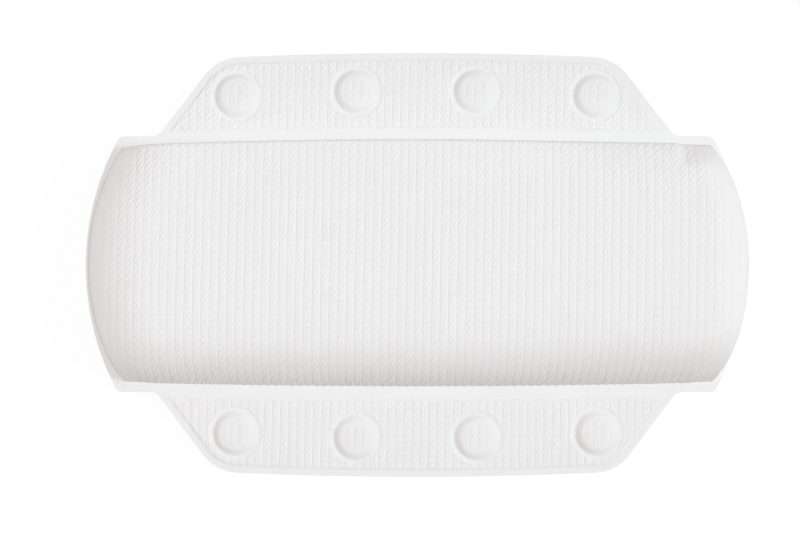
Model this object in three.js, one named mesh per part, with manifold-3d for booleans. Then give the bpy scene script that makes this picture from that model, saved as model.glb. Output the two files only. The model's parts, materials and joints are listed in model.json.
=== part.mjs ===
// Bath pillow: a foam bolster welded into a two-sheet vinyl cover, with a fold-down flap along each
// long side and a row of suction cups buttoned through each flap. Millimetres, +Z up.
// It lies on its back: the cups and the flat of the bolster's back stand on z = 0, the bather's side
// faces +Z, the length runs along X, and the origin is on the ground under the middle of the bolster.

import * as THREE from 'three';
import { mergeVertices } from 'three/addons/utils/BufferGeometryUtils.js';
import Module from 'manifold-3d';

const wasm = await Module();
wasm.setup();

// Bolster
const bolsterLength = 330; // over the bowed ends
const bolsterWidth = 128; // over the weld flange
const endBow = 16.5; // how far each end bows out beyond its corners
const flangeCornerRadius = 2.5;
const flangeWidth = 4.7; // flat weld beside the foam pocket's long seams, at the corners
const endFlangeWidth = 2.4; // flat weld round the pocket's ends
const seamBow = 2; // how far the pocket's long seams bow out in the middle
const bolsterRise = 38; // crown above the weld
const backSwell = 14; // how far the back would belly out if nothing flattened it
const backTaper = 2.4; // power by which the back fills more slowly from the seam than the front
const sideRoundness = 4.2; // superellipse power of the section across the bolster
const endRoundness = 16; // superellipse power of the section along the bolster

// Flaps
const flapRootWidth = 257; // where the flap meets the bolster
const flapDepth = 42; // from the bolster's edge to the middle of the flap's rim
const flapSideAngle = 52.8; // degrees between the slanting side and the root
const flapCornerRadius = 23;
const flapRimBow = 2.6; // how far the rim bows out in the middle
const flareRadius = 7; // hollow curve where the slanting side runs out into the bolster's edge
const rimBand = 3.6; // smooth weld round the embossed field
const rootBand = 2; // smooth weld between the fold and the embossed field
const fieldHeight = 2.6; // embossed foam vinyl, above the weld
const fieldEdgeRound = 0.7;

// Sheets
const frontSkin = 2; // foam vinyl over the bolster
const weldSkin = 1; // the same vinyl where it is welded flat
const backFilm = 0.8;
const seatGap = 0.3; // between pieces that lie on each other

// Suction cups
const cupCount = 4; // on each flap
const cupFromCorner = 38.5; // from the flap's root corner to its end cup, along the fold
const cupFromRim = 19.5; // from the middle of the rim to the middle cups
const endCupShift = 2.2; // how much farther from the rim the two end cups sit
const cupRadius = 14;
const lipWidth = 1.4;
const lipThickness = 0.7;
const cupHollow = 3.4; // depth of the hollow over the lip
const bellHeight = 6.2; // from the lip to the boss
const bellFlare = 1.3; // power of the bell's outer curve
const bossHeight = 2.4; // from the bell to the film
const bossShoulder = 2; // how far the boss stands out round the neck
const neckRadius = 4;
const headRadius = 8.5;
const headThickness = 1.6;
const headEdge = 0.5;

// Ring weld round each cup's head, seen on the front as a button in a dimple
const ringMargin = 2.4; // vinyl between the head's pocket and the weld
const ringWidth = 1;
const dimpleWidth = 2.4;
const buttonShoulder = 4.2; // how far the button's rounded edge runs in from the weld
const buttonSkin = 2.3; // vinyl over the head

// Facets
const stepsAcross = 18;
const stepsAlong = 16;
const roundSegments = 18;
const arcSegments = 8;
const rodSegments = 16;
const curveSteps = 3;

// Heights and places that follow from those sizes
const cupHeight = bellHeight + bossHeight;
const bossRadius = neckRadius + bossShoulder;
const filmTop = cupHeight + seatGap + backFilm;
const weldHeight = filmTop + seatGap;
const halfWidth = bolsterWidth / 2;
const endRadius = (halfWidth ** 2 + endBow ** 2) / (2 * endBow);
const endCentre = bolsterLength / 2 - endRadius;
const rootRadius = Math.max(weldSkin, seatGap + backFilm);
const hingeY = halfWidth + seatGap + rootRadius;
const flapReach = halfWidth + flapDepth - hingeY; // from the fold to the middle of the rim
const sideAngle = THREE.MathUtils.degToRad(flapSideAngle);
const flareRun = flareRadius * Math.tan(sideAngle / 2); // how far the flare runs past the root's corner
const pocketRadius = headRadius + seatGap;
const pocketTop = headThickness + seatGap;
const ringInner = pocketRadius + ringMargin;
const ringOuter = ringInner + ringWidth;
const cutMargin = 1; // how far a cutting solid reaches past the face it opens

const embossedVinyl = new THREE.MeshStandardMaterial({ color: 0xf0f0f0, roughness: 0.55, metalness: 0 });
const smoothFilm = new THREE.MeshStandardMaterial({ color: 0xf2f2f2, roughness: 0.35, metalness: 0 });
const foam = new THREE.MeshStandardMaterial({ color: 0xf3efe4, roughness: 0.95, metalness: 0 });
const cupVinyl = new THREE.MeshStandardMaterial({ color: 0xf4f4f2, roughness: 0.25, metalness: 0 });

// A closed geometry as a solid that can be joined and cut.
function solid(geometry) {
  const bare = new THREE.BufferGeometry();
  bare.setAttribute('position', geometry.getAttribute('position'));
  bare.setIndex(geometry.getIndex());
  const merged = mergeVertices(bare);
  const index = merged.getIndex().array;
  const triVerts = [];
  for (let i = 0; i < index.length; i += 3) {
    const [a, b, c] = index.subarray(i, i + 3);
    if (a !== b && b !== c && c !== a) triVerts.push(a, b, c);
  }
  return new wasm.Manifold(new wasm.Mesh({
    numProp: 3,
    vertProperties: merged.getAttribute('position').array,
    triVerts: new Uint32Array(triVerts),
  }));
}

// A solid as a named mesh.
function piece(name, shape, material) {
  const made = shape.getMesh();
  const geometry = new THREE.BufferGeometry();
  geometry.setAttribute('position', new THREE.BufferAttribute(made.vertProperties, 3));
  geometry.setIndex(new THREE.BufferAttribute(made.triVerts, 1));
  geometry.computeVertexNormals();
  const mesh = new THREE.Mesh(geometry, material);
  mesh.name = name;
  return mesh;
}

// An outline raised between two heights.
function plate(shape, low, high) {
  const options = { depth: high - low, bevelEnabled: false, curveSegments: arcSegments };
  return solid(new THREE.ExtrudeGeometry(shape, options).translate(0, 0, low));
}

// A profile of [radius, height] points turned about the Z axis.
function turned(profile) {
  const points = profile.map(([radius, height]) => new THREE.Vector2(radius, height));
  return solid(new THREE.LatheGeometry(points, roundSegments).rotateX(Math.PI / 2));
}

const signedPower = (value, power) => Math.sign(value) * Math.abs(value) ** power;

// Half the bolster's length at a distance y from its middle, drawn in by inset.
const halfLengthAt = (y, inset) => endCentre + Math.sqrt((endRadius - inset) ** 2 - y ** 2);

// Points over the foam pocket, drawn in by inset, each with its share of the full swell.
function pocketGrid(inset) {
  const rows = [];
  for (let i = 0; i <= stepsAcross; i++) {
    const across = Math.PI * i / stepsAcross;
    const shareAcross = signedPower(Math.cos(across), 2 / sideRoundness);
    const swellAcross = i % stepsAcross ? Math.sin(across) ** (2 / sideRoundness) : 0;
    const row = [];
    for (let j = 0; j <= stepsAlong; j++) {
      const along = Math.PI * j / stepsAlong;
      const shareAlong = signedPower(Math.cos(along), 2 / endRoundness);
      const swellAlong = j % stepsAlong ? Math.sin(along) ** (2 / sideRoundness) : 0;
      const reach = halfWidth - flangeWidth - inset + seamBow * (1 - shareAlong ** 2);
      const y = reach * shareAcross;
      const x = halfLengthAt(y, endFlangeWidth + inset) * shareAlong;
      row.push({ x, y, swell: swellAcross * swellAlong });
    }
    rows.push(row);
  }
  return rows;
}

// A closed pillow over the pocket. upper and lower give the two faces' heights from the swell;
// at the rim, where the swell is 0, the faces either meet or are joined by a wall.
function pillow(inset, upper, lower) {
  const rows = pocketGrid(inset);
  const columns = rows[0].length;
  const positions = [];
  const index = [];
  for (const height of [upper, lower]) {
    for (const { x, y, swell } of rows.flat()) positions.push(x, y, height(swell));
  }
  const lowerStart = rows.length * columns;
  const quad = (a, b, c, d) => index.push(a, b, c, a, c, d);
  for (let i = 0; i + 1 < rows.length; i++) {
    for (let j = 0; j + 1 < columns; j++) {
      const a = i * columns + j;
      quad(a, a + 1, a + columns + 1, a + columns);
      quad(lowerStart + a, lowerStart + a + columns, lowerStart + a + columns + 1, lowerStart + a + 1);
    }
  }
  const rim = [];
  for (let j = 0; j + 1 < columns; j++) rim.push(j);
  for (let i = 0; i + 1 < rows.length; i++) rim.push(i * columns + columns - 1);
  for (let j = columns - 1; j > 0; j--) rim.push((rows.length - 1) * columns + j);
  for (let i = rows.length - 1; i > 0; i--) rim.push(i * columns);
  rim.forEach((a, k) => {
    const b = rim[(k + 1) % rim.length];
    quad(a, lowerStart + a, lowerStart + b, b);
  });
  const geometry = new THREE.BufferGeometry();
  geometry.setAttribute('position', new THREE.Float32BufferAttribute(positions, 3));
  geometry.setIndex(index);
  return solid(geometry);
}

// Outline of the weld flange: two straight sides and two bowed ends, with rounded corners.
function flangeShape() {
  const r = flangeCornerRadius;
  const cornerY = halfWidth - r;
  const cornerX = endCentre + Math.sqrt((endRadius - r) ** 2 - cornerY ** 2);
  const bowAngle = Math.atan2(cornerY, cornerX - endCentre);
  const quarter = Math.PI / 2;
  const shape = new THREE.Shape();
  shape.moveTo(-cornerX, -halfWidth);
  shape.lineTo(cornerX, -halfWidth);
  shape.absarc(cornerX, -cornerY, r, -quarter, -bowAngle, false);
  shape.absarc(endCentre, 0, endRadius, -bowAngle, bowAngle, false);
  shape.absarc(cornerX, cornerY, r, bowAngle, quarter, false);
  shape.lineTo(-cornerX, halfWidth);
  shape.absarc(-cornerX, cornerY, r, quarter, Math.PI - bowAngle, false);
  shape.absarc(-endCentre, 0, endRadius, Math.PI - bowAngle, Math.PI + bowAngle, false);
  shape.absarc(-cornerX, -cornerY, r, Math.PI + bowAngle, Math.PI + quarter, false);
  return shape;
}

// The embossed front sheet over the bolster: a crowned shell on its weld flange.
function bolsterFrontCover() {
  const crown = pillow(0, (swell) => weldHeight + bolsterRise * swell, () => weldHeight);
  const pocket = pillow(
    frontSkin,
    (swell) => weldHeight + (bolsterRise - frontSkin) * swell,
    () => weldHeight - cutMargin,
  );
  const flange = plate(flangeShape(), weldHeight, weldHeight + weldSkin);
  return piece('bolster_front_cover', flange.add(crown).subtract(pocket), embossedVinyl);
}

// Height of a back face that bellies down from the film, as far as a flat allows.
const bellyHeight = (belly, flat) => (swell) => filmTop - Math.min(belly * swell ** backTaper, flat);

// The smooth back sheet: a shallow tray, flat where it lies on the ground.
function bolsterBackCover() {
  const belly = pillow(0, () => filmTop, bellyHeight(backSwell, filmTop));
  const pocket = pillow(
    backFilm,
    () => filmTop + cutMargin,
    bellyHeight(backSwell - backFilm, filmTop - backFilm),
  );
  const flange = plate(flangeShape(), filmTop - backFilm, filmTop);
  return piece('bolster_back_cover', flange.add(belly).subtract(pocket), smoothFilm);
}

// The foam inside, clear of both sheets by the seat gap.
function foamCore() {
  const inset = Math.max(frontSkin, backFilm) + seatGap;
  const top = bolsterRise - frontSkin - seatGap;
  const belly = backSwell - backFilm - seatGap;
  const flat = filmTop - backFilm - seatGap;
  const core = pillow(inset, (swell) => weldHeight + top * swell, bellyHeight(belly, flat));
  return piece('foam_core', core, foam);
}

// Outline of a flap with its fold on y = 0: drawn in by inset at the sides and rim, starting at rootY.
function flapShape(inset, rootY, flared) {
  const sharpHalf = flapRootWidth / 2 - (flapReach - flapRimBow) / Math.tan(sideAngle);
  const rimRadius = (sharpHalf ** 2 + flapRimBow ** 2) / (2 * flapRimBow);
  const rimCentre = flapReach - rimRadius;
  const rootX = flapRootWidth / 2 - inset / Math.sin(sideAngle) - rootY / Math.tan(sideAngle);
  const r = flapCornerRadius - inset;
  // The corner's centre lies r inside the side and r inside the rim.
  const reach = rimRadius - flapCornerRadius;
  const offset = flapRootWidth / 2 - flapCornerRadius / Math.sin(sideAngle);
  const slope = 1 / Math.tan(sideAngle);
  const a = slope ** 2 + 1;
  const b = -2 * slope * offset - 2 * rimCentre;
  const c = offset ** 2 + rimCentre ** 2 - reach ** 2;
  const cornerY = (-b + Math.sqrt(b ** 2 - 4 * a * c)) / (2 * a);
  const cornerX = offset - slope * cornerY;
  const down = -Math.PI / 2;
  const sideNormal = -down - sideAngle;
  const rimAngle = Math.atan2(cornerY - rimCentre, cornerX);
  const footX = flared ? rootX + flareRun : rootX;
  const shape = new THREE.Shape();
  shape.moveTo(-footX, rootY);
  shape.lineTo(footX, rootY);
  if (flared) shape.absarc(footX, rootY + flareRadius, flareRadius, down, down - sideAngle, true);
  shape.absarc(cornerX, cornerY, r, sideNormal, rimAngle, false);
  shape.absarc(0, rimCentre, rimRadius - inset, rimAngle, Math.PI - rimAngle, false);
  shape.absarc(-cornerX, cornerY, r, Math.PI - rimAngle, Math.PI - sideNormal, false);
  if (flared) shape.absarc(-footX, rootY + flareRadius, flareRadius, down + sideAngle, down, true);
  return shape;
}

// A rod along the fold line, kept between two heights: the rounded root that the flap turns on.
function rootRod(radius, low, high) {
  const length = flapRootWidth + 2 * flareRun;
  const rod = new THREE.CylinderGeometry(radius, radius, length, rodSegments).rotateZ(Math.PI / 2);
  const keep = new THREE.BoxGeometry(length, 2 * radius, high - low);
  return solid(rod.translate(0, 0, weldHeight)).intersect(solid(keep.translate(0, 0, (low + high) / 2)));
}

// Where each cup sits in its flap's own frame.
const cupPlaces = Array.from({ length: cupCount }, (_, i) => {
  const endX = flapRootWidth / 2 - cupFromCorner;
  const isEnd = i === 0 || i === cupCount - 1;
  const fromRim = cupFromRim + (isEnd ? endCupShift : 0);
  return { x: endX * (2 * i / (cupCount - 1) - 1), y: flapReach - fromRim };
});

// The raised embossed field, with a rounded top edge.
function flapField() {
  const geometry = new THREE.ExtrudeGeometry(flapShape(rimBand, rootBand, false), {
    depth: fieldHeight - fieldEdgeRound,
    bevelThickness: fieldEdgeRound,
    bevelSize: fieldEdgeRound,
    bevelOffset: -fieldEdgeRound,
    bevelSegments: 2,
    curveSegments: arcSegments,
  });
  const below = plate(flapShape(0, 0, false), weldHeight - fieldEdgeRound - cutMargin, weldHeight);
  return solid(geometry.translate(0, 0, weldHeight)).subtract(below);
}

// The dimple that the ring weld presses into the field, as a cutting solid.
function ringDimple() {
  const mouth = ringOuter + dimpleWidth;
  const top = fieldHeight + cutMargin;
  const profile = [[0, weldSkin], [ringOuter, weldSkin], [mouth, fieldHeight], [mouth, top], [0, top]];
  return turned(profile).translate(0, 0, weldHeight);
}

// The button of vinyl standing over a cup's head inside the ring weld.
function button() {
  const flatRadius = ringInner - buttonShoulder;
  const top = pocketTop + buttonSkin;
  const profile = [[0, 0], [ringInner, 0]];
  for (let k = 0; k <= curveSteps; k++) {
    const turn = Math.PI / 2 * k / curveSteps;
    const height = weldSkin + (top - weldSkin) * Math.sin(turn);
    profile.push([flatRadius + buttonShoulder * Math.cos(turn), height]);
  }
  profile.push([0, top]);
  return turned(profile).translate(0, 0, weldHeight);
}

// The pocket under the button that holds a cup's head.
function headPocket() {
  const profile = [[0, -cutMargin], [pocketRadius, -cutMargin], [pocketRadius, pocketTop], [0, pocketTop]];
  return turned(profile).translate(0, 0, weldHeight);
}

// The embossed front sheet of a flap, with a button over each cup.
function flapFrontCover(name) {
  const band = plate(flapShape(0, 0, true), weldHeight, weldHeight + weldSkin);
  let cover = band.add(rootRod(weldSkin, weldHeight, weldHeight + weldSkin)).add(flapField());
  for (const { x, y } of cupPlaces) {
    cover = cover.subtract(ringDimple().translate(x, y, 0)).add(button().translate(x, y, 0));
    cover = cover.subtract(headPocket().translate(x, y, 0));
  }
  return piece(name, cover, embossedVinyl);
}

// The hole in the back sheet that a cup's neck passes through, as a cutting solid.
function neckHole() {
  const radius = neckRadius + seatGap;
  const low = filmTop - backFilm - cutMargin;
  const high = filmTop + cutMargin;
  return turned([[0, low], [radius, low], [radius, high], [0, high]]);
}

// The smooth back sheet of a flap, pierced for the cups' necks.
function flapBackCover(name) {
  const root = rootRod(rootRadius, filmTop - backFilm, filmTop);
  let film = plate(flapShape(0, 0, true), filmTop - backFilm, filmTop).add(root);
  for (const { x, y } of cupPlaces) film = film.subtract(neckHole().translate(x, y, 0));
  return piece(name, film, smoothFilm);
}

// A suction cup standing on its lip: hollow bell, boss, neck through the film and head above it.
function suctionCup(name) {
  const profile = [];
  for (let k = 0; k <= curveSteps; k++) {
    const turn = Math.PI / 2 * k / curveSteps;
    profile.push([(cupRadius - lipWidth) * Math.sin(turn), cupHollow * Math.cos(turn) ** 2]);
  }
  profile.push([cupRadius, 0]);
  for (let k = 0; k <= curveSteps; k++) {
    const share = k / curveSteps;
    const radius = THREE.MathUtils.lerp(cupRadius, bossRadius, share);
    profile.push([radius, THREE.MathUtils.lerp(lipThickness, bellHeight, share ** bellFlare)]);
  }
  const headTop = weldHeight + headThickness;
  profile.push([bossRadius, cupHeight], [neckRadius, cupHeight], [neckRadius, weldHeight]);
  profile.push([headRadius - headEdge, weldHeight], [headRadius, weldHeight + headEdge]);
  profile.push([headRadius, headTop - headEdge], [headRadius - headEdge, headTop], [0, headTop]);
  return piece(name, turned(profile), cupVinyl);
}

// A flap with its two sheets and its cups. side is +1 for the upper flap and -1 for the lower one,
// which is the upper one turned half round, so that its cups still count from -X to +X.
function flap(word, side) {
  const group = new THREE.Group();
  group.position.set(0, side * hingeY, 0);
  group.rotation.z = side > 0 ? 0 : Math.PI;
  group.add(flapFrontCover(`${word}_flap_front_cover`), flapBackCover(`${word}_flap_back_cover`));
  cupPlaces.forEach(({ x, y }, i) => {
    const number = side > 0 ? i + 1 : cupPlaces.length - i;
    const cup = suctionCup(`${word}_suction_cup_${number}`);
    cup.position.set(x, y, 0);
    group.add(cup);
  });
  return group;
}

const bathPillow = new THREE.Group();
bathPillow.add(bolsterFrontCover(), bolsterBackCover(), foamCore());
bathPillow.add(flap('upper', 1), flap('lower', -1));

export default bathPillow;
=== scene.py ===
import json
import math

import bmesh
import bpy
import numpy as np
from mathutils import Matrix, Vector, geometry


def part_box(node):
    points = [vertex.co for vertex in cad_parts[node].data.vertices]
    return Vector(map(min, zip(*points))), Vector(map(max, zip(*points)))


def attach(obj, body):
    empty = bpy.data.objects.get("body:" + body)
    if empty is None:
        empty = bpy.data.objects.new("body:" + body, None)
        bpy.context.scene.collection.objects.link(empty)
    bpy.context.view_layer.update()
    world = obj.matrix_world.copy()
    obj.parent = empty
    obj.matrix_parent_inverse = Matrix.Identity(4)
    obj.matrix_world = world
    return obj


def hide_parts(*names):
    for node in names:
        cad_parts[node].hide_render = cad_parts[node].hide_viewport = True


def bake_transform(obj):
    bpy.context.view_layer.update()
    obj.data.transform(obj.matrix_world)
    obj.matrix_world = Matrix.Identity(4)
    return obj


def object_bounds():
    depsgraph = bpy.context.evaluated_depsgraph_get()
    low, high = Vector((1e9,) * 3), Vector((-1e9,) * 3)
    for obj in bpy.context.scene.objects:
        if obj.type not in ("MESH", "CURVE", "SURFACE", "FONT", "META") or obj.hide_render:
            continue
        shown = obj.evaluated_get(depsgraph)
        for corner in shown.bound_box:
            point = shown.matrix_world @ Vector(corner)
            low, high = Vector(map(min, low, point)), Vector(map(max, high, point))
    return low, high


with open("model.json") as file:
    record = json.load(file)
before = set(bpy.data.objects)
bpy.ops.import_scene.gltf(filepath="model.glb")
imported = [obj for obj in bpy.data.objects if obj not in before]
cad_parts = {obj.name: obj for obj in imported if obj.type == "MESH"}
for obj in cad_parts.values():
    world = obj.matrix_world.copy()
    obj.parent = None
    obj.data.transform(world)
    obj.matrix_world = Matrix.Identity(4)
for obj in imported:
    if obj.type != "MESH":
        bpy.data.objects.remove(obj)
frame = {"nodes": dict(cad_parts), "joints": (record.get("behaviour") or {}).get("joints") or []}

# A bath pillow: a bolster of embossed vinyl filled with foam, and two flaps that hold suction cups
cad_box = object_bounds()
MM = 0.001

# Sizes that the frame gives
front_low, front_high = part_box("bolster_front_cover")
foam_low, foam_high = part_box("foam_core")
flap_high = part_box("upper_flap_front_cover")[1]
film_low, film_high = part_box("upper_flap_back_cover")
half_length = front_high.x
half_width = front_high.y
weld_z = front_low.z
rise = front_high.z - weld_z
film_top = film_high.z
film_under = film_low.z
hinge_y = abs(frame["joints"][0]["pos_m"][1])

# The bolster's pocket and its weld
END_BOW = 16.5 * MM
LOWER_MIDDLE = 3.2 * MM
LOWER_SIDE = 5.2 * MM
UPPER_MIDDLE = 5.9 * MM
UPPER_LEFT = 8.7 * MM
UPPER_RIGHT = 7.0 * MM
LEFT_FLANGE = 5.4 * MM
LEFT_LOWER_CORNER = 6.0 * MM
LEFT_UPPER_CORNER = 9.7 * MM
RIGHT_FLANGE = 4.8 * MM
RIGHT_LOWER_CORNER = 3.6 * MM
RIGHT_UPPER_CORNER = 7.6 * MM
FLANGE_CORNER = 2.5 * MM
WELD_SKIN = 1.0 * MM
FRONT_SKIN = 2.0 * MM
BACK_SWELL = 14.0 * MM
BACK_TAPER = 2.4
FOAM_GAP = 0.3 * MM
end_radius = (half_width ** 2 + END_BOW ** 2) / (2 * END_BOW)
end_centre = half_length - end_radius

# How the pocket fills from its seam, as the power and the root of a superellipse
UPPER_FILL = (40.0, 40.0)
LOWER_FILL = (5.3, 1.65)
END_FILL = (240.0, 60.0)
BACK_FILL = (4.2, 4.2)
BACK_END_FILL = (16.0, 4.2)

# How the crown falls towards the ends, and towards the right of both seams
LEFT_DROP = 9.5 * MM
LEFT_REACH = 31 * MM
RIGHT_DROP = 4.5 * MM
RIGHT_REACH = 17 * MM
END_POWER = 2.0
UPPER_SAG = 8.5 * MM
LOWER_SAG = 7.5 * MM
SAG_REACH = 32 * MM
SAG_RUN = 120 * MM
SAG_POWER = 2.0

# The fold in the sheet near the right end of the upper seam
FOLD_X = 130 * MM
FOLD_Y = 57 * MM
FOLD_LEFT = 4 * MM
FOLD_RIGHT = 20 * MM
FOLD_REACH = 13 * MM
FOLD_DEPTH = 5.5 * MM

# The flaps, measured from the hinge line
FLAP_ROOT_WIDTH = 257.0 * MM
SIDE_ANGLE = math.radians(52.8)
FLAP_CORNER = 23.0 * MM
RIM_BOW = 2.6 * MM
FLARE = 7.0 * MM
RIM_BAND = 3.0 * MM
ROOT_BAND = 0.5 * MM
ROOT_BOW = 1.7 * MM
ROOT_REACH = 118.0 * MM
FIELD_HEIGHT = 1.15 * MM
FIELD_EDGE = 1.5 * MM
flap_reach = flap_high.y - hinge_y
root_v = half_width - hinge_y

# The buttons over the cups' heads
RING_INNER = 11.0 * MM
RING_OUTER = 11.8 * MM
DIMPLE = 1.2 * MM
DIMPLE_BARE = 0.48 * MM
BUTTON_SHOULDER = 3.4 * MM
BUTTON_ROUNDNESS = 1.5
BUTTON_TOP = 3.2 * MM
BUTTON_PATCH = 4.0 * MM
BUTTON_FADE = 4.0 * MM
HEAD_POCKET = 8.8 * MM
HEAD_ROOM = 1.9 * MM
POCKET_EDGE = 2.0 * MM
NECK_HOLE = 4.3 * MM

# The embossed cords, even in plan because the sheet was drawn straight over the foam
CORD_PITCH = 4.09 * MM
CORD_START = 3.0 * MM
CORD_LEAN = 0.0165
CORD_RISE = 0.36 * MM
CORD_ROUNDNESS = 6.0
STRAND_PITCH = 3.3 * MM
STRAND_CLIMB = 1.5
STRAND_SHARE = 0.95
STRAND_ROUNDNESS = 0.6
FLAP_CORDS = 1.3
FLAP_STRANDS = 0.72
CORD_STEPS = 10
cord_step = CORD_PITCH / CORD_STEPS

# Where the bolster's cords fade towards the ends, gather at the lower seam and rise from the weld
END_CORDS = 0.25
END_FADE_START = 0.9
END_FADE_RUN = 0.07
SEAM_GATHER = 0.9
GATHER_START = 0.82
GATHER_RUN = 0.14
CORD_ONSET = 2.0 * MM
WELD_BLEND = 1.5 * MM


def smoothstep(value):
    """A soft climb from 0 to 1 while the value goes from 0 to 1."""
    share = np.clip(value, 0, 1)
    return share * share * (3 - 2 * share)


def cords(x, y, strand_share):
    """Height of the twisted cords at a place in plan, from 0 in a groove to 1 on a strand's crest."""
    across = np.mod((x - CORD_START - CORD_LEAN * y) / CORD_PITCH, 1)
    section = 1 - np.abs(2 * across - 1) ** CORD_ROUNDNESS
    strand = np.abs(np.cos(np.pi * (y / STRAND_PITCH - STRAND_CLIMB * across))) ** STRAND_ROUNDNESS
    return section * (1 - strand_share * (1 - strand))


def cord_places(reach):
    """Places from -reach to reach, in step with the cords."""
    first = math.ceil((-reach - CORD_START) / cord_step)
    last = math.floor((reach - CORD_START) / cord_step)
    return CORD_START + cord_step * np.arange(first, last + 1)


# Meshes

CREASE = math.radians(62)
MERGE_DISTANCE = 0.001 * MM
SLIVER = 0.0001 * MM
PROFILE_SAMPLES = 6001
PROFILE_CROWDING = 3


def finished(name, points, faces, attributes=None):
    """A smooth object with doubled points merged, hard edges at sharp turns and its rest places kept."""
    mesh = bpy.data.meshes.new(name)
    mesh.from_pydata(points.reshape(-1, 3).tolist(), [], faces)
    for key, values in (attributes or {}).items():
        layer = mesh.attributes.new(key, "FLOAT", "POINT")
        layer.data.foreach_set("value", values.astype(np.float32).ravel())
    work = bmesh.new()
    work.from_mesh(mesh)
    bmesh.ops.remove_doubles(work, verts=work.verts, dist=MERGE_DISTANCE)
    bmesh.ops.dissolve_degenerate(work, edges=work.edges, dist=SLIVER)
    work.to_mesh(mesh)
    work.free()
    places = np.zeros(3 * len(mesh.vertices), np.float32)
    mesh.vertices.foreach_get("co", places)
    rest = mesh.attributes.new("rest", "FLOAT_VECTOR", "POINT")
    rest.data.foreach_set("vector", places)
    mesh.polygons.foreach_set("use_smooth", np.ones(len(mesh.polygons), bool))
    mesh.set_sharp_from_angle(angle=CREASE)
    piece = bpy.data.objects.new(name, mesh)
    bpy.context.scene.collection.objects.link(piece)
    return piece


def grid_points(x, y, z):
    """Points from their coordinates, each a number or a grid."""
    return np.stack(np.broadcast_arrays(x, y, z), -1)


def grid_quads(index):
    """Quads between the neighbours of a grid of point numbers."""
    near, far = index[:-1], index[1:]
    return np.stack([near[:, :-1], far[:, :-1], far[:, 1:], near[:, 1:]], -1).reshape(-1, 4)


def shell(name, top, under, picks, attributes=None, mirrored=False):
    """Closed piece from a top grid of points and a coarser under grid, with a row under each picked row."""
    points = np.concatenate([top, under[:, ::-1]], 1)
    columns, rows = points.shape[:2]
    index = np.arange(columns * rows).reshape(columns, rows)
    faces = grid_quads(np.concatenate([index, index[:, :1]], 1)).tolist()
    lower = index[:, top.shape[1]:][:, ::-1]
    for place, (low, high) in enumerate(zip(picks[:-1], picks[1:])):
        for column, turn in ((0, 1), (-1, -1)):
            cap = np.append(index[column, low:high + 1], lower[column, place:place + 2][::-1])
            faces.append(cap[::turn].tolist())
    if mirrored:
        points = points * np.array([1, -1, 1])
        faces = [face[::-1] for face in faces]
    spread = {key: np.concatenate([values, np.full(under.shape[:2], values.min())], 1)
              for key, values in (attributes or {}).items()}
    return finished(name, points, faces, spread)


def picked(rows, step, rim=0):
    """Numbers of evenly chosen rows, with each of the rim's rows on both sides."""
    rims = np.arange(rim + 1)
    return np.unique(np.concatenate([rims, np.arange(rim, rows - rim, step), rows - 1 - rims]))


def normals(points):
    """Unit normals of a grid of points, pointing out of the sheet's top."""
    normal = np.cross(np.gradient(points, axis=0), np.gradient(points, axis=1))
    length = np.linalg.norm(normal, axis=-1, keepdims=True)
    return normal / np.maximum(length, np.finfo(float).tiny)


def between(low, high, shares):
    """Rows between two edges given per column."""
    return low[:, None] + (high - low)[:, None] * shares


def paced(length, height, plan_step, slope_step):
    """Shares from 0 to 1 along a profile: close enough both in plan and down its steep end."""
    share = 1 - np.linspace(1, 0, PROFILE_SAMPLES) ** PROFILE_CROWDING
    run = np.diff(share) * length
    climb = np.diff(height(share))
    paces = np.cumsum(np.maximum(run / plan_step, np.hypot(run, climb) / slope_step))
    paces = np.concatenate([[0], paces])
    return np.interp(np.linspace(0, paces[-1], math.ceil(paces[-1]) + 1), paces, share)


# Bolster

STRAIGHT = 120 * MM
PLAN_PASSES = 5
ROW_STEP = 0.5 * MM
SLOPE_STEP = 1.7 * MM
COARSE_STEP = 3 * MM
WELD_SHARES = np.array([1.2, 1.65, 2.0])
RIM_FADE = 5 * MM
UNDER_STEP = 5
pocket_tip = half_length - LEFT_FLANGE


def filled(share, fill):
    """Share of the full height at a share of the way from the middle to the seam."""
    power, root = fill
    return np.clip(1 - share ** power, 0, None) ** (1 / root)


def both_sides(lower, upper):
    """Shares from -1 to 1 out of two runs from 0 to 1."""
    return np.concatenate([-lower[:0:-1], upper])


def reach_along(y, inset):
    """Half length of the bowed end at y, drawn in by the inset."""
    return end_centre + np.sqrt((end_radius - inset) ** 2 - y ** 2)


def end_flange(x, y):
    """Width of the weld beyond an end at y: wider towards the corners."""
    left = LEFT_FLANGE, np.where(y < 0, LEFT_LOWER_CORNER, LEFT_UPPER_CORNER)
    right = RIGHT_FLANGE, np.where(y < 0, RIGHT_LOWER_CORNER, RIGHT_UPPER_CORNER)
    middle, corner = [np.where(x < 0, *pair) for pair in zip(left, right)]
    return middle + (corner - middle) * (y / half_width) ** 2


def flange_edge(x):
    """Half width of the weld's outer edge at x, with its rounded corners."""
    turn_y = half_width - FLANGE_CORNER
    turn_x = end_centre + math.sqrt((end_radius - FLANGE_CORNER) ** 2 - turn_y ** 2)
    tangent = end_centre + (turn_x - end_centre) * end_radius / (end_radius - FLANGE_CORNER)
    past = np.clip(np.abs(x) - turn_x, 0, FLANGE_CORNER)
    corner = turn_y + np.sqrt(FLANGE_CORNER ** 2 - past ** 2)
    beyond = np.clip(np.abs(x) - end_centre, 0, end_radius)
    return np.where(np.abs(x) < tangent, corner, np.sqrt(end_radius ** 2 - beyond ** 2))


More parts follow.
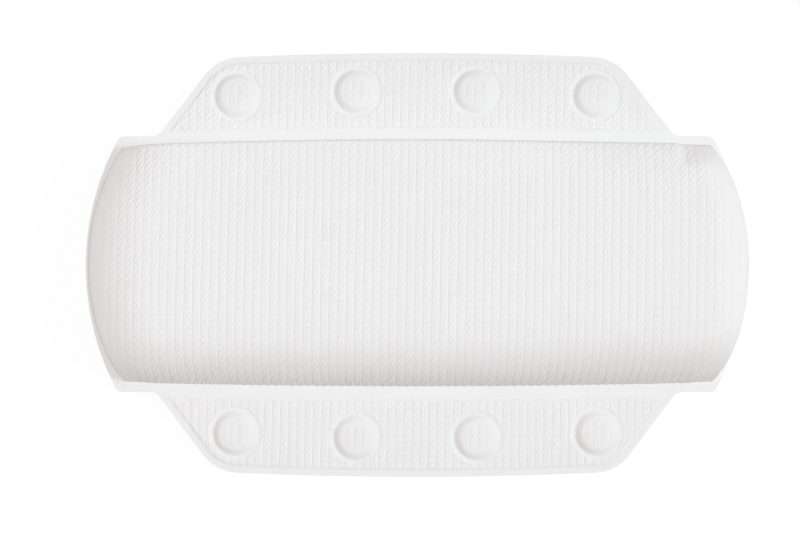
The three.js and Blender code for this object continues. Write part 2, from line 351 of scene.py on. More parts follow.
def bolster_plan(columns, rows, inset=0.0):
    """Plan of the bolster from shares along and across its pocket; shares from 1 to 2 lie on the weld.

    Columns run straight beside the cords, and take up the bow of the ends towards them.
    Returns x, y and the shares along and across at each point."""
    tip = pocket_tip - inset
    length = tip * np.minimum(np.abs(columns), 1)[:, None]
    on_end = np.maximum(np.abs(columns) - 1, 0)[:, None]
    bowed = np.clip((length - STRAIGHT) / (tip - STRAIGHT), 0, 1)
    inside = np.clip(rows, -1, 1)[None, :]
    on_side = rows[None, :] - inside
    middle = np.where(inside < 0, LOWER_MIDDLE, UPPER_MIDDLE)
    corner = np.where(inside < 0, LOWER_SIDE, np.where(columns < 0, UPPER_LEFT, UPPER_RIGHT)[:, None])
    along = length / tip
    # The seams draw in with the share along, which depends on y in turn, so a few passes settle both
    for _ in range(PLAN_PASSES):
        side = half_width - inset - middle - (corner - middle) * along ** 2
        y = side * inside + (half_width - side) * on_side
        drawn_in = end_flange(columns[:, None], y) + inset
        end = reach_along(y, drawn_in * (1 - on_end))
        x = np.minimum(length, STRAIGHT) + bowed * (end - STRAIGHT)
        x = np.sign(columns)[:, None] * x + CORD_LEAN * y * (1 - bowed)
        along = np.clip(np.abs(x) / reach_along(y, drawn_in), 0, 1)
    y = np.sign(y) * np.minimum(np.abs(y), flange_edge(x))
    return x, y, along, np.broadcast_to(np.abs(inside), y.shape)


def end_fall(x, along):
    """How far the crown has fallen at a share of the way to an end."""
    drop = np.where(x < 0, LEFT_DROP, RIGHT_DROP)
    reach = np.where(x < 0, LEFT_REACH, RIGHT_REACH)
    return drop * np.clip(1 - (1 - along) * pocket_tip / reach, 0, 1) ** END_POWER


def pocket_height(x, y, along, across, full):
    """Height of a layer in the pocket over the weld: its fill, less the sags and the fold at the right."""
    side = np.where(y < 0, filled(across, LOWER_FILL), filled(across, UPPER_FILL))
    sag = np.where(y < 0, LOWER_SAG, UPPER_SAG) * smoothstep(x / SAG_RUN)
    sag = sag * np.clip(1 - (1 - across) * half_width / SAG_REACH, 0, 1) ** SAG_POWER
    aside = np.where(x < FOLD_X, (FOLD_X - x) / FOLD_LEFT, (x - FOLD_X) / FOLD_RIGHT)
    fold = FOLD_DEPTH * smoothstep(1 - aside) * smoothstep(1 - (FOLD_Y - y) / FOLD_REACH)
    crown = full * filled(along, END_FILL) - end_fall(x, along) - sag
    return np.maximum(crown * side - fold, 0)


def end_shares(plan_step, slope_step):
    """Shares from the middle to a tip of the pocket, close enough for the left end."""
    def height(share):
        return rise * filled(share, END_FILL) - end_fall(-share, share)

    return paced(pocket_tip, height, plan_step, slope_step)


def side_shares(plan_step, slope_step):
    """Shares from the lower to the upper seam of the pocket."""
    runs = [paced(half_width, lambda share: rise * filled(share, fill), plan_step, slope_step)
            for fill in (LOWER_FILL, UPPER_FILL)]
    return both_sides(*runs)


def fine_columns():
    """Shares along the pocket, in step with the cords between the ends, and over the weld at both ends."""
    end = end_shares(cord_step, SLOPE_STEP)
    end = np.concatenate([end[end > STRAIGHT / pocket_tip], WELD_SHARES])
    return np.concatenate([-end[::-1], cord_places(STRAIGHT) / pocket_tip, end])


def coarse_shares(step):
    """Shares along and across the pocket, without its weld, for a plain grid."""
    end = end_shares(step, step)
    return both_sides(end, end), side_shares(step, step)


# Cloth simulation of the bolster's sheet

CLOTH_STEP = 4 * MM
CLOTH_FRAMES = 20
CLOTH_CAP = 0.4 * MM
CLOTH_HOLD = 0.02
CLOTH_SETTINGS = {
    "quality": 8,
    "mass": 0.15,
    "tension_stiffness": 12,
    "compression_stiffness": 12,
    "shear_stiffness": 6,
    "bending_stiffness": 0.6,
    "shrink_min": -0.02,
    "use_pressure": True,
    "uniform_pressure_force": 1.5,
}


def simulated(sheet):
    """Where the points of a sheet held at its rim come to rest when the foam presses it out."""
    columns, rows = sheet.shape[:2]
    index = np.arange(columns * rows).reshape(columns, rows)
    mesh = bpy.data.meshes.new("cloth")
    mesh.from_pydata(sheet.reshape(-1, 3).tolist(), [], grid_quads(index).tolist())
    piece = bpy.data.objects.new("cloth", mesh)
    bpy.context.scene.collection.objects.link(piece)
    rim = np.unique(np.concatenate([index[0], index[-1], index[:, 0], index[:, -1]]))
    held = piece.vertex_groups.new(name="held")
    held.add(index.ravel().tolist(), CLOTH_HOLD, "REPLACE")
    held.add(rim.tolist(), 1.0, "REPLACE")
    cloth = piece.modifiers.new("cloth", "CLOTH")
    for key, value in CLOTH_SETTINGS.items():
        setattr(cloth.settings, key, value)
    cloth.settings.vertex_group_mass = held.name
    cloth.settings.effector_weights.gravity = 0
    cloth.point_cache.frame_end = CLOTH_FRAMES
    for number in range(1, CLOTH_FRAMES + 1):
        bpy.context.scene.frame_set(number)
    seen = piece.evaluated_get(bpy.context.evaluated_depsgraph_get())
    places = np.zeros(3 * columns * rows, np.float32)
    seen.data.vertices.foreach_get("co", places)
    bpy.context.scene.frame_set(1)
    bpy.data.objects.remove(piece)
    bpy.data.meshes.remove(mesh)
    return places.reshape(sheet.shape)


def spline_weights(coarse, fine):
    """Share of each coarse place in a smooth curve, a cubic B-spline, at each fine place."""
    place = np.interp(fine, coarse, np.arange(len(coarse)))
    gap = np.abs(place[:, None] - np.arange(len(coarse)))
    weight = np.where(gap < 1, 2 / 3 - gap ** 2 + gap ** 3 / 2, np.clip(2 - gap, 0, None) ** 3 / 6)
    return weight / weight.sum(1, keepdims=True)


def puffed(columns, rows):
    """How far the foam moves the sheet from its drawn form, smoothly at each of the given shares."""
    coarse_columns, coarse_rows = coarse_shares(CLOTH_STEP)
    x, y, along, across = bolster_plan(coarse_columns, coarse_rows)
    sheet = grid_points(x, y, weld_z + pocket_height(x, y, along, across, rise))
    moved = simulated(sheet) - sheet
    far = np.linalg.norm(moved, axis=-1, keepdims=True)
    moved *= np.minimum(1, CLOTH_CAP / np.maximum(far, CLOTH_CAP))
    along_weights = spline_weights(coarse_columns, columns)
    across_weights = spline_weights(coarse_rows, rows)
    return np.einsum("ik,klc,jl->ijc", along_weights, moved, across_weights, optimize=True)


def bolster_skin():
    """The embossed front sheet over the foam, with its flat weld."""
    columns = fine_columns()
    rows = np.concatenate([-WELD_SHARES[::-1], side_shares(ROW_STEP, SLOPE_STEP), WELD_SHARES])
    x, y, along, across = bolster_plan(columns, rows)
    height = pocket_height(x, y, along, across, rise)
    base = grid_points(x, y, weld_z + np.maximum(height, WELD_SKIN))
    base += smoothstep((height - WELD_SKIN) / RIM_FADE)[..., None] * puffed(columns, rows)
    fade = 1 - (1 - END_CORDS) * smoothstep((along - END_FADE_START) / END_FADE_RUN)
    gather = 1 + SEAM_GATHER * smoothstep((across - GATHER_START) / GATHER_RUN) * (y < 0)
    strength = fade * gather * smoothstep((height - WELD_SKIN) / CORD_ONSET)
    relief = strength * cords(x, y, STRAND_SHARE)
    top = base + CORD_RISE * relief[..., None] * normals(base)
    picks = picked(len(rows), UNDER_STEP, len(WELD_SHARES))
    x, y, along, across = bolster_plan(columns, rows[picks], FRONT_SKIN)
    hollow = pocket_height(x, y, along, across, rise - FRONT_SKIN)
    under = grid_points(x, y, weld_z + hollow)
    # The cord height also sets the colour: low places get a painted shade
    looks = {"cord": relief, "weld": 1 - smoothstep((height - WELD_SKIN) / WELD_BLEND)}
    return shell("bolster_skin", top, under, picks, looks)


def belly(along, across, flat):
    """How far the back swells, pressed flat where the pillow lies."""
    full = filled(across, BACK_FILL) * filled(along, BACK_END_FILL)
    return np.minimum(BACK_SWELL * full ** BACK_TAPER, flat)


def bolster_film():
    """The smooth back sheet: a flat weld, and a belly."""
    edge = WELD_SHARES[-1:]
    columns, rows = [np.concatenate([-edge, shares, edge]) for shares in coarse_shares(COARSE_STEP)]
    x, y, along, across = bolster_plan(columns, rows)
    top = grid_points(x, y, film_top - belly(along, across, film_under))
    under = grid_points(x, y, film_under - belly(along, across, film_under))
    return shell("bolster_back_film", top, under, np.arange(len(rows)))


def foam_block():
    """The foam inside the pocket."""
    columns, rows = coarse_shares(COARSE_STEP)
    x, y, along, across = bolster_plan(columns, rows, FRONT_SKIN + FOAM_GAP)
    top = grid_points(x, y, weld_z + pocket_height(x, y, along, across, foam_high.z - weld_z))
    under = grid_points(x, y, film_top - belly(along, across, film_top - foam_low.z))
    return shell("foam_block", top, under, np.arange(len(rows)))


# Flaps, in a frame whose v runs from the hinge line to the rim

rim_half = FLAP_ROOT_WIDTH / 2 - (flap_reach - RIM_BOW) / math.tan(SIDE_ANGLE)
rim_radius = (rim_half ** 2 + RIM_BOW ** 2) / (2 * RIM_BOW)
rim_centre = flap_reach - rim_radius
side_slope = 1 / math.tan(SIDE_ANGLE)


def corner_centre():
    """Centre of a flap's rounded corner, one corner radius inside the slanting side and inside the rim."""
    offset = FLAP_ROOT_WIDTH / 2 - FLAP_CORNER / math.sin(SIDE_ANGLE)
    a = side_slope ** 2 + 1
    b = -2 * side_slope * offset - 2 * rim_centre
    c = offset ** 2 + rim_centre ** 2 - (rim_radius - FLAP_CORNER) ** 2
    v = (-b + math.sqrt(b ** 2 - 4 * a * c)) / (2 * a)
    return offset - side_slope * v, v


corner_x, corner_v = corner_centre()
rim_angle = math.atan2(corner_v - rim_centre, corner_x)
side_normal = math.pi / 2 - SIDE_ANGLE
foot_x = FLAP_ROOT_WIDTH / 2 - root_v * side_slope + FLARE * math.tan(SIDE_ANGLE / 2)


def flap_edge(x, inset=0.0):
    """How far the flap's outline, drawn in by the inset, reaches from the hinge line at x."""
    x = np.abs(x)
    rim = rim_centre + np.sqrt((rim_radius - inset) ** 2 - x ** 2)
    radius = FLAP_CORNER - inset
    corner = corner_v + np.sqrt(np.clip(radius ** 2 - (x - corner_x) ** 2, 0, None))
    side = (FLAP_ROOT_WIDTH / 2 - inset / math.sin(SIDE_ANGLE) - x) * math.tan(SIDE_ANGLE)
    edge = np.where(x < (rim_radius - inset) * math.cos(rim_angle), rim, corner)
    edge = np.where(x > corner_x + radius * math.cos(side_normal), side, edge)
    # Only the outer outline flares into the bolster's edge at its feet
    if inset:
        return edge
    run = np.clip(foot_x - x, 0, FLARE)
    flare = root_v + FLARE - np.sqrt(FLARE ** 2 - run ** 2)
    return np.where(x > foot_x - FLARE * math.sin(SIDE_ANGLE), flare, edge)


def flap_inside(x, v):
    """Distance of a point inside the flap's rim and sides."""
    x = np.abs(x)
    rim = rim_radius - np.hypot(x, v - rim_centre)
    side = (FLAP_ROOT_WIDTH / 2 - x) * math.sin(SIDE_ANGLE) - v * math.cos(SIDE_ANGLE)
    turn = np.arctan2(v - corner_v, x - corner_x)
    corner = FLAP_CORNER - np.hypot(x - corner_x, v - corner_v)
    in_corner = (turn > side_normal) & (turn < rim_angle)
    return np.where(in_corner, corner, np.minimum(rim, side))


def cup_centres(word):
    """Names and places of a flap's cups, from the frame."""
    names = sorted(name for name in frame["nodes"] if name.startswith(f"{word}_suction_cup"))
    boxes = [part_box(name) for name in names]
    return [(name, (low + high) / 2) for name, (low, high) in zip(names, boxes)]


def cup_places(word):
    """Places of a flap's cups as x and v."""
    return [(centre.x, abs(centre.y) - hinge_y) for _, centre in cup_centres(word)]


def button_height(radius, field):
    """Height over a cup at a distance from its middle: button, ring weld, dimple and then the field."""
    flat = RING_INNER - BUTTON_SHOULDER
    fall = np.clip((radius - flat) / BUTTON_SHOULDER, 0, 1)
    button = WELD_SKIN + (BUTTON_TOP - WELD_SKIN) * (1 - fall ** BUTTON_ROUNDNESS)
    climb = smoothstep((radius - RING_OUTER) / DIMPLE)
    dimple = WELD_SKIN + (field - WELD_SKIN) * climb
    return np.where(radius < RING_INNER, button, dimple)


def field_root(x):
    """Where the embossed field starts from the hinge line: bowed beside the bolster's seam."""
    return ROOT_BAND + ROOT_BOW * (1 - (x / ROOT_REACH) ** 2)


def flap_surface(x, v, cups):
    """Height of a flap's front over the weld without cords, and how strongly the cords show there."""
    depth = np.minimum(v - field_root(x), flap_inside(x, v) - RIM_BAND)
    strength = smoothstep(depth / FIELD_EDGE)
    height = WELD_SKIN + (FIELD_HEIGHT - WELD_SKIN) * strength
    for cup_x, cup_v in cups:
        radius = np.hypot(x - cup_x, v - cup_v)
        height = np.where(radius < RING_OUTER + DIMPLE, button_height(radius, height), height)
        outside = smoothstep((radius - RING_OUTER - DIMPLE_BARE) / DIMPLE)
        on_top = 1 - smoothstep((radius - BUTTON_PATCH) / BUTTON_FADE)
        strength = np.minimum(strength, np.maximum(outside, on_top))
    return height, strength


# Rows across a flap's front: root weld, field's edge, field, field's edge and rim
BAND_ROWS = (6, 5, 77, 5, 5)
# Shares of a column that the root weld, and the field's edge after it, reach at most
ROOT_LIMIT = 0.6
ROOT_EDGE_LIMIT = 0.7


def flap_skin(word, side):
    """The embossed front sheet of a flap, with a button over each cup."""
    cups = cup_places(word)
    x = np.concatenate([[-foot_x], cord_places(foot_x), [foot_x]])
    low = np.full_like(x, root_v)
    high = np.maximum(flap_edge(x), root_v)
    start = np.minimum(field_root(x), low + ROOT_LIMIT * (high - low))
    start_in = np.minimum(start + FIELD_EDGE, low + ROOT_EDGE_LIMIT * (high - low))
    stop_in = np.clip(flap_edge(x, RIM_BAND + FIELD_EDGE), start_in, high)
    stop = np.clip(flap_edge(x, RIM_BAND), stop_in, high)
    edges = (low, start, start_in, stop_in, stop, high)
    bands = zip(edges[:-1], edges[1:], BAND_ROWS)
    rows = [between(near, far, np.arange(count) / count) for near, far, count in bands]
    v = np.concatenate(rows + [high[:, None]], 1)
    across = np.broadcast_to(x[:, None], v.shape)
    height, strength = flap_surface(across, v, cups)
    pattern = cords(across, side * (v + hinge_y), FLAP_STRANDS)
    top = grid_points(across, v + hinge_y, weld_z + height + CORD_RISE * FLAP_CORDS * strength * pattern)
    picks = picked(v.shape[1], UNDER_STEP)
    room = np.zeros((len(x), len(picks)))
    for cup_x, cup_v in cups:
        radius = np.hypot(across[:, picks] - cup_x, v[:, picks] - cup_v)
        inside = HEAD_POCKET + POCKET_EDGE / 2 - radius
        room = np.maximum(room, HEAD_ROOM * smoothstep(inside / POCKET_EDGE))
    under = grid_points(across[:, picks], v[:, picks] + hinge_y, weld_z + room)
    # Low cords get a painted shade through the vinyl's colour ramp
    looks = {"cord": 1 - strength * (1 - pattern),
             "weld": 1 - smoothstep((height - WELD_SKIN) / (FIELD_HEIGHT - WELD_SKIN))}
    return shell(f"{word}_flap_skin", top, under, picks, looks, mirrored=side < 0)


FILM_STEP = 2 * MM
FILM_COLUMNS = 133
HOLE_POINTS = 40
HOLE_MARGIN = 1 * MM
# The kind of triangulation that keeps only what lies inside the outline
INSIDE_ONLY = 1


def neck_hole(x, v):
    """Points round the hole for a cup's neck."""
    turns = np.linspace(0, 2 * np.pi, HOLE_POINTS, endpoint=False)
    return [(x + NECK_HOLE * math.cos(t), v + NECK_HOLE * math.sin(t)) for t in turns]


def clear_of(cups, points, distance):
    """Which points lie farther than the distance from the middle of every cup."""
    return np.all([np.hypot(points[:, 0] - x, points[:, 1] - v) > distance for x, v in cups], 0)


def pierced_film(cups):
    """Points and triangles of a flap's flat film, with a hole for each cup's neck."""
    x = np.linspace(-foot_x, foot_x, FILM_COLUMNS)
    edge = np.maximum(flap_edge(x), root_v)
    outline = [(a, root_v) for a in x] + list(zip(x[-2:0:-1], edge[-2:0:-1]))
    inside = np.array([(a, b) for a in np.arange(-foot_x + FILM_STEP, foot_x, FILM_STEP)
                       for b in np.arange(root_v + FILM_STEP / 2, flap_edge(a) - FILM_STEP / 2, FILM_STEP)])
    inside = inside[clear_of(cups, inside, NECK_HOLE + HOLE_MARGIN)]
    points, edges = [], []
    for loop in [outline] + [neck_hole(*cup) for cup in cups]:
        first = len(points)
        points += loop
        edges += [(first + k, first + (k + 1) % len(loop)) for k in range(len(loop))]
    points = [Vector(point) for point in points + inside.tolist()]
    made = geometry.delaunay_2d_cdt(points, edges, [], INSIDE_ONLY, SLIVER)
    flat = np.array([tuple(point) for point in made[0]])
    triangles = np.array(made[2])
    return flat, triangles[clear_of(cups, flat[triangles].mean(1), NECK_HOLE)]


def flap_film(word, side):
    """The smooth back sheet of a flap, pierced for the cups' necks."""
    flat, triangles = pierced_film(cup_places(word))
    sides = np.concatenate([triangles[:, [0, 1]], triangles[:, [1, 2]], triangles[:, [2, 0]]]).tolist()
    paired = {(b, a) for a, b in sides}
    rim = np.array([pair for pair in sides if tuple(pair) not in paired])
    count = len(flat)
    y = side * (flat[:, 1] + hinge_y)
    layers = [grid_points(flat[:, 0], y, z) for z in (film_top, film_under)]
    walls = np.stack([rim[:, 0], rim[:, 0] + count, rim[:, 1] + count, rim[:, 1]], -1)
    faces = triangles.tolist() + (triangles[:, ::-1] + count).tolist() + walls.tolist()
    if side < 0:
        faces = [face[::-1] for face in faces]
    return finished(f"{word}_flap_back_film", np.concatenate(layers), faces)


# Suction cups

CUP_LIP = 1.4 * MM
CUP_LIP_THICKNESS = 0.7 * MM
LIP_EDGE = 0.3 * MM
CUP_HOLLOW = 3.4 * MM
BELL_HEIGHT = 6.2 * MM
BELL_FLARE = 1.3
BOSS_TOP = 8.6 * MM
BOSS_RADIUS = 6.0 * MM
BOSS_EDGE = 0.4 * MM
NECK_RADIUS = 4.0 * MM
HEAD_RADIUS = 8.5 * MM
HEAD_THICKNESS = 1.6 * MM
HEAD_EDGE = 0.5 * MM
CUP_SEGMENTS = 72
HOLLOW_POINTS = 15
BELL_POINTS = 14
BELL_START = 0.05
EDGE_POINTS = 5
# Angles of a section in degrees
DOWN, OUT, LIP_END, UP = -90, 0, 45, 90


def rounded(radius, height, edge, first, last):
    """Points of a round edge about a centre of a section, between two angles in degrees."""
    return [(radius + edge * math.cos(t), height + edge * math.sin(t))
            for t in np.radians(np.linspace(first, last, EDGE_POINTS))]


def cup_profile(radius):
    """Half section of a suction cup: hollow, lip, bell, boss, neck and head."""
    turns = np.linspace(0, np.pi / 2, HOLLOW_POINTS)
    hollow = [((radius - CUP_LIP) * math.sin(t), CUP_HOLLOW * math.cos(t) ** 2) for t in turns]
    lip = rounded(radius - LIP_EDGE, LIP_EDGE, LIP_EDGE, DOWN, LIP_END)
    bell = [(radius + (BOSS_RADIUS - radius) * math.sin(share * math.pi / 2),
             CUP_LIP_THICKNESS + (BELL_HEIGHT - CUP_LIP_THICKNESS) * share ** BELL_FLARE)
            for share in np.linspace(BELL_START, 1, BELL_POINTS)]
    boss = rounded(BOSS_RADIUS - BOSS_EDGE, BOSS_TOP - BOSS_EDGE, BOSS_EDGE, OUT, UP)
    neck = [(NECK_RADIUS, BOSS_TOP), (NECK_RADIUS, weld_z)]
    head = rounded(HEAD_RADIUS - HEAD_EDGE, weld_z + HEAD_EDGE, HEAD_EDGE, DOWN, OUT)
    head += rounded(HEAD_RADIUS - HEAD_EDGE, weld_z + HEAD_THICKNESS - HEAD_EDGE, HEAD_EDGE, OUT, UP)
    return hollow + lip + bell + boss + neck + head + [(0, weld_z + HEAD_THICKNESS)]


def suction_cup(name, centre):
    """A cup turned about its upright axis."""
    low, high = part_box(name)
    radius, height = np.array(cup_profile((high.x - low.x) / 2)).T
    turn = np.linspace(0, 2 * np.pi, CUP_SEGMENTS, endpoint=False)[:, None]
    points = grid_points(centre.x + radius * np.cos(turn), centre.y + radius * np.sin(turn), height)
    index = np.arange(points.shape[0] * points.shape[1]).reshape(points.shape[:2])
    faces = grid_quads(np.concatenate([index, index[:1]]))
    return finished(f"{name}_moulding", points, faces.tolist())


# Materials

FRONT_CREST = (0.9, 0.9, 0.9)
# Painted shade in the grooves of the cords: darker than the crests
FRONT_GROOVE_SHADE = (0.88, 0.878, 0.877)
# The flaps are the same vinyl as the bolster's front, painted darker: painted shade
FLAP_CREST_SHADED = (0.858, 0.856, 0.855)
FLAP_GROOVE_SHADE = (0.83, 0.825, 0.823)
# The welds are painted a little darker than the bolster's front: painted shade
WELD_SHADED_COLOUR = (0.845, 0.847, 0.847)
FILM_COLOUR = (0.86, 0.862, 0.862)
CUP_COLOUR = (0.88, 0.89, 0.885)
FOAM_COLOUR = (0.88, 0.86, 0.79)
WHITE = (1.0, 1.0, 1.0)

CREST_STOP = 0.5
VINYL_CLOUDS = {"Scale": 60.0, "Detail": 3.0}
VINYL_CLOUD_STOPS = (0.3, 0.7)
VINYL_CLOUD_TINT = (0.985, 0.983, 0.982)
VINYL_GRAIN = {"Scale": 2600.0, "Detail": 2.0}
VINYL_BUMP = {"Strength": 0.25, "Distance": 0.05 * MM}
VINYL_SPECULAR = 0.2
CORD_ROUGHNESS = 0.6
WELD_ROUGHNESS = 0.5

PLAIN_CLOUDS = {"Scale": 70.0, "Detail": 4.0}
PLAIN_CLOUD_STOPS = (0.25, 0.75)
PLAIN_CLOUD_SHADE = 0.96
PLAIN_BUMP = 0.3
GLOSS_SPREAD = 0.06


def add_node(nodes, kind, values=None, **settings):
    """A new node with its settings and the values of its inputs."""
    node = nodes.new(kind)
    for key, value in settings.items():
        setattr(node, key, value)
    for key, value in (values or {}).items():
        node.inputs[key].default_value = value
    return node


def node_tree(name):
    """Nodes, links and shader of a new material, the rest places for its patterns, and the material."""
    material = bpy.data.materials.new(name)
    material.use_nodes = True
    nodes = material.node_tree.nodes
    rest = add_node(nodes, "ShaderNodeAttribute", attribute_name="rest")
    return nodes, material.node_tree.links, nodes["Principled BSDF"], rest.outputs["Vector"], material


def ramp(nodes, stops):
    """A ramp from one colour to another, each at its place."""
    node = nodes.new("ShaderNodeValToRGB")
    for element, (place, colour) in zip(node.color_ramp.elements, stops):
        element.position = place
        element.color = (*colour, 1)
    return node


def embossed_vinyl(name, crest, groove):
    """White foamed vinyl: matt and finely grained on the cords, smoother where it is welded, with painted
    shade in the grooves and a darker painted tone on the welds.
    """
    nodes, links, shader, rest, material = node_tree(name)
    cord = add_node(nodes, "ShaderNodeAttribute", attribute_name="cord")
    weld = add_node(nodes, "ShaderNodeAttribute", attribute_name="weld")
    cloudy = add_node(nodes, "ShaderNodeTexNoise", VINYL_CLOUDS)
    grain = add_node(nodes, "ShaderNodeTexNoise", VINYL_GRAIN)
    for texture in (cloudy, grain):
        links.new(rest, texture.inputs["Vector"])
    # Painted shade: the lower the cord at a point, the darker its colour, so grooves and faded cords are
    # painted darker than crests
    depth = ramp(nodes, [(0.0, groove), (CREST_STOP, crest)])
    links.new(cord.outputs["Fac"], depth.inputs["Fac"])
    # The welds take their darker colour, a painted shade
    tint = add_node(nodes, "ShaderNodeMix", data_type="RGBA")
    links.new(weld.outputs["Fac"], tint.inputs["Factor"])
    links.new(depth.outputs["Color"], tint.inputs["A"])
    tint.inputs["B"].default_value = (*WELD_SHADED_COLOUR, 1)
    cloud = ramp(nodes, zip(VINYL_CLOUD_STOPS, (VINYL_CLOUD_TINT, WHITE)))
    links.new(cloudy.outputs["Fac"], cloud.inputs["Fac"])
    mixed = add_node(nodes, "ShaderNodeMix", {"Factor": 1.0}, data_type="RGBA", blend_type="MULTIPLY")
    links.new(tint.outputs["Result"], mixed.inputs["A"])
    links.new(cloud.outputs["Color"], mixed.inputs["B"])
    links.new(mixed.outputs["Result"], shader.inputs["Base Color"])
    rough = add_node(nodes, "ShaderNodeMapRange", {"To Min": CORD_ROUGHNESS, "To Max": WELD_ROUGHNESS})
    links.new(weld.outputs["Fac"], rough.inputs["Value"])
    links.new(rough.outputs["Result"], shader.inputs["Roughness"])
    bump = add_node(nodes, "ShaderNodeBump", VINYL_BUMP)
    links.new(grain.outputs["Fac"], bump.inputs["Height"])
    links.new(bump.outputs["Normal"], shader.inputs["Normal"])
    shader.inputs["Specular IOR Level"].default_value = VINYL_SPECULAR
    return material


def grained(name, colour, roughness, grain_scale, bump_depth):
    """Plain vinyl or foam with an even grain, a little cloudy in its shade and gloss."""
    nodes, links, shader, rest, material = node_tree(name)
    grain = add_node(nodes, "ShaderNodeTexVoronoi", {"Scale": grain_scale})
    cloudy = add_node(nodes, "ShaderNodeTexNoise", PLAIN_CLOUDS)
    for texture in (grain, cloudy):
        links.new(rest, texture.inputs["Vector"])
    shaded = [PLAIN_CLOUD_SHADE * channel for channel in colour]
    shade = ramp(nodes, zip(PLAIN_CLOUD_STOPS, (shaded, colour)))
    links.new(cloudy.outputs["Fac"], shade.inputs["Fac"])
    links.new(shade.outputs["Color"], shader.inputs["Base Color"])
    limits = {"To Min": roughness - GLOSS_SPREAD, "To Max": roughness + GLOSS_SPREAD}
    rough = add_node(nodes, "ShaderNodeMapRange", limits)
    links.new(cloudy.outputs["Fac"], rough.inputs["Value"])
    links.new(rough.outputs["Result"], shader.inputs["Roughness"])
    bump = add_node(nodes, "ShaderNodeBump", {"Strength": PLAIN_BUMP, "Distance": bump_depth})
    links.new(grain.outputs["Distance"], bump.inputs["Height"])
    links.new(bump.outputs["Normal"], shader.inputs["Normal"])
    return material


front_vinyl = embossed_vinyl("embossed_vinyl", FRONT_CREST, FRONT_GROOVE_SHADE)
# The flaps' copy of the same vinyl, painted darker: painted shade
flap_vinyl = embossed_vinyl("flap_vinyl_shaded", FLAP_CREST_SHADED, FLAP_GROOVE_SHADE)
back_vinyl = grained("back_film", FILM_COLOUR, roughness=0.38, grain_scale=900.0, bump_depth=0.05 * MM)
cup_vinyl = grained("cup_vinyl", CUP_COLOUR, roughness=0.2, grain_scale=500.0, bump_depth=0.01 * MM)
foam_cells = grained("foam", FOAM_COLOUR, roughness=0.94, grain_scale=1100.0, bump_depth=0.4 * MM)


# Pieces

OUTLINE_SAMPLES = 400


def area_under(edge, reach):
    """Area between an outline and its base line, from -reach to reach."""
    return 2 * reach * float(edge(np.linspace(-reach, reach, OUTLINE_SAMPLES)).mean())


def dressed(piece, material, node):
    """A piece with its material, standing for its CAD node."""
    piece.data.materials.append(material)
    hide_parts(node)
    return piece


bolster = dressed(bolster_skin(), front_vinyl, "bolster_front_cover")
back = dressed(bolster_film(), back_vinyl, "bolster_back_cover")
block = dressed(foam_block(), foam_cells, "foam_core")
for piece in (bolster, back, block):
    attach(piece, "bolster")
2 * area_under(flange_edge, half_length)

flap_area = area_under(flap_edge, foot_x) - 2 * foot_x * root_v
for word, side in (("upper", 1), ("lower", -1)):
    body = f"{word}_flap"
    cups = [dressed(suction_cup(name, centre), cup_vinyl, name)
            for name, centre in cup_centres(word)]
    for cup in cups:
        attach(cup, body)
    film = dressed(flap_film(word, side), back_vinyl, f"{word}_flap_back_cover")
    skin = dressed(flap_skin(word, side), flap_vinyl, f"{word}_flap_front_cover")
    for piece in (skin, film):
        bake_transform(piece)


# Stage

def white_rays(nodes, links):
    """1 for rays that show the background: from the camera, in gloss and through clear parts."""
    path = add_node(nodes, "ShaderNodeLightPath")
    shows = path.outputs["Is Camera Ray"]
    for kind in ("Is Glossy Ray", "Is Transmission Ray"):
        either = add_node(nodes, "ShaderNodeMath", operation="MAXIMUM")
        links.new(shows, either.inputs[0])
        links.new(path.outputs[kind], either.inputs[1])
        shows = either.outputs[0]
    return shows


def split_by_ray(nodes, links, output, lighting, shown):
    """Joins a shader that lights the object and one that rays of the background show to an output."""
    choose = add_node(nodes, "ShaderNodeMixShader")
    links.new(white_rays(nodes, links), choose.inputs["Fac"])
    links.new(lighting.outputs[0], choose.inputs[1])
    links.new(shown.outputs[0], choose.inputs[2])
    links.new(choose.outputs[0], add_node(nodes, output).inputs["Surface"])


FLOOR_REACH = 3.0
FLOOR_DROP = 0.2 * MM
FLOOR_BOUNCE = (0.82, 0.785, 0.77)
FLOOR_SHADED = (0.14, 0.14, 0.14)
FLOOR_CORNERS = ((-1, -1), (1, -1), (1, 1), (-1, 1))
FLOOR_BRIGHT = 0.88


def floor():
    """A pale floor that shows white, with the object's shadow kept faint."""
    mesh = bpy.data.meshes.new("floor")
    corners = [(FLOOR_REACH * x, FLOOR_REACH * y, 0) for x, y in FLOOR_CORNERS]
    mesh.from_pydata(corners, [], [(0, 1, 2, 3)])
    piece = bpy.data.objects.new("floor", mesh)
    bpy.context.scene.collection.objects.link(piece)
    piece.location.z = cad_box[0].z - FLOOR_DROP
    material = bpy.data.materials.new("floor")
    material.use_nodes = True
    nodes, links = material.node_tree.nodes, material.node_tree.links
    nodes.clear()
    pale = add_node(nodes, "ShaderNodeBsdfDiffuse", {"Color": (*FLOOR_BOUNCE, 1)})
    shaded = add_node(nodes, "ShaderNodeBsdfDiffuse", {"Color": (*FLOOR_SHADED, 1)})
    bright = add_node(nodes, "ShaderNodeEmission", {"Strength": FLOOR_BRIGHT})
    seen = add_node(nodes, "ShaderNodeAddShader")
    links.new(shaded.outputs[0], seen.inputs[0])
    links.new(bright.outputs[0], seen.inputs[1])
    split_by_ray(nodes, links, "ShaderNodeOutputMaterial", pale, seen)
    mesh.materials.append(material)


SKY_AZIMUTH = math.radians(25)
SKY_ELEVATION = math.radians(17)
SKY_STRENGTH = 0.46
SKY_FROM = -0.16
SKY_TO = 0.76
SKY_DIM = (0.65, 0.525, 0.485)
SKY_FULL = (0.985, 1.0, 1.0)


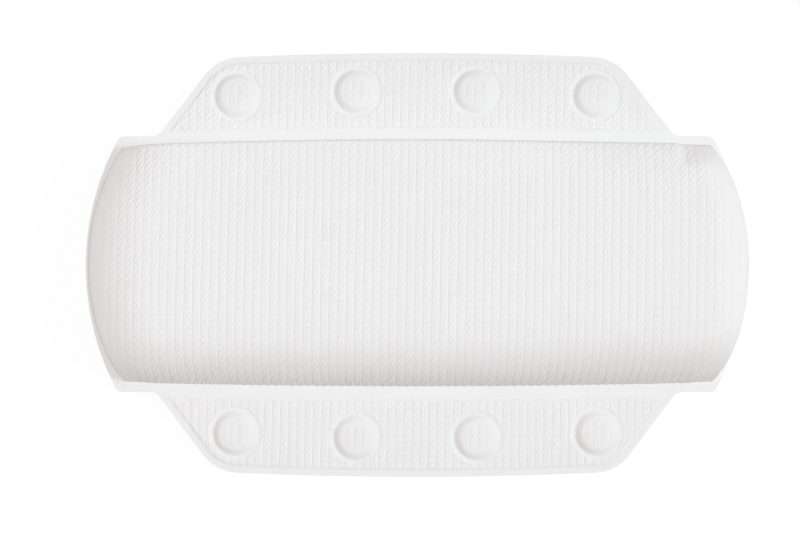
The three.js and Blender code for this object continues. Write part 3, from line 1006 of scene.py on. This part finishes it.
def sky():
    """Soft light all round, fuller from the upper right, with a white background."""
    world = bpy.data.worlds.new("studio")
    bpy.context.scene.world = world
    world.use_nodes = True
    nodes, links = world.node_tree.nodes, world.node_tree.links
    nodes.clear()
    way = add_node(nodes, "ShaderNodeTexCoord")
    facing = add_node(nodes, "ShaderNodeVectorMath", operation="DOT_PRODUCT")
    level = math.cos(SKY_ELEVATION)
    facing.inputs[1].default_value = (level * math.cos(SKY_AZIMUTH), level * math.sin(SKY_AZIMUTH),
                                      math.sin(SKY_ELEVATION))
    links.new(way.outputs["Generated"], facing.inputs[0])
    share = add_node(nodes, "ShaderNodeMapRange", {"From Min": SKY_FROM, "From Max": SKY_TO})
    links.new(facing.outputs["Value"], share.inputs["Value"])
    colour = ramp(nodes, [(0.0, SKY_DIM), (1.0, SKY_FULL)])
    links.new(share.outputs["Result"], colour.inputs["Fac"])
    soft = add_node(nodes, "ShaderNodeBackground", {"Strength": SKY_STRENGTH})
    links.new(colour.outputs["Color"], soft.inputs["Color"])
    white = add_node(nodes, "ShaderNodeBackground", {"Color": (*WHITE, 1), "Strength": 1.0})
    split_by_ray(nodes, links, "ShaderNodeOutputWorld", soft, white)


KEY_AZIMUTH = math.radians(-4)
KEY_LEANS = np.radians((-4, 4, 44))
KEY_SPREAD = math.radians(8)
KEY_STRENGTH = 0.697
KEY_COLOUR = (0.965, 1.0, 1.02)


def key_light():
    """Two lamps nearly overhead and one from the right, which shades the left end softly."""
    data = bpy.data.lights.new("key", "SUN")
    data.energy = KEY_STRENGTH
    data.color = KEY_COLOUR
    data.angle = KEY_SPREAD
    for lean in KEY_LEANS:
        lamp = bpy.data.objects.new("key", data)
        lamp.rotation_euler = (0, lean, KEY_AZIMUTH)
        bpy.context.scene.collection.objects.link(lamp)


CAMERA_AIM = (-8.12 * MM, -1.37 * MM)
CAMERA_DISTANCE = 0.91
CAMERA_PITCH = math.radians(3)
IMAGE_WIDTH = 800
PIXEL = 0.5 * MM
SENSOR = 36.0


def camera():
    """Looks down at the weld, from a little below the middle. One pixel covers PIXEL there."""
    data = bpy.data.cameras.new("camera")
    data.sensor_width = SENSOR
    data.lens = SENSOR * CAMERA_DISTANCE / (IMAGE_WIDTH * PIXEL)
    eye = bpy.data.objects.new("camera", data)
    eye.location = (CAMERA_AIM[0], CAMERA_AIM[1] - CAMERA_DISTANCE * math.sin(CAMERA_PITCH),
                    weld_z + CAMERA_DISTANCE * math.cos(CAMERA_PITCH))
    eye.rotation_euler.x = CAMERA_PITCH
    bpy.context.scene.collection.objects.link(eye)
    bpy.context.scene.camera = eye


floor()
sky()
key_light()
camera()
bpy.context.scene.view_settings.view_transform = "Standard"
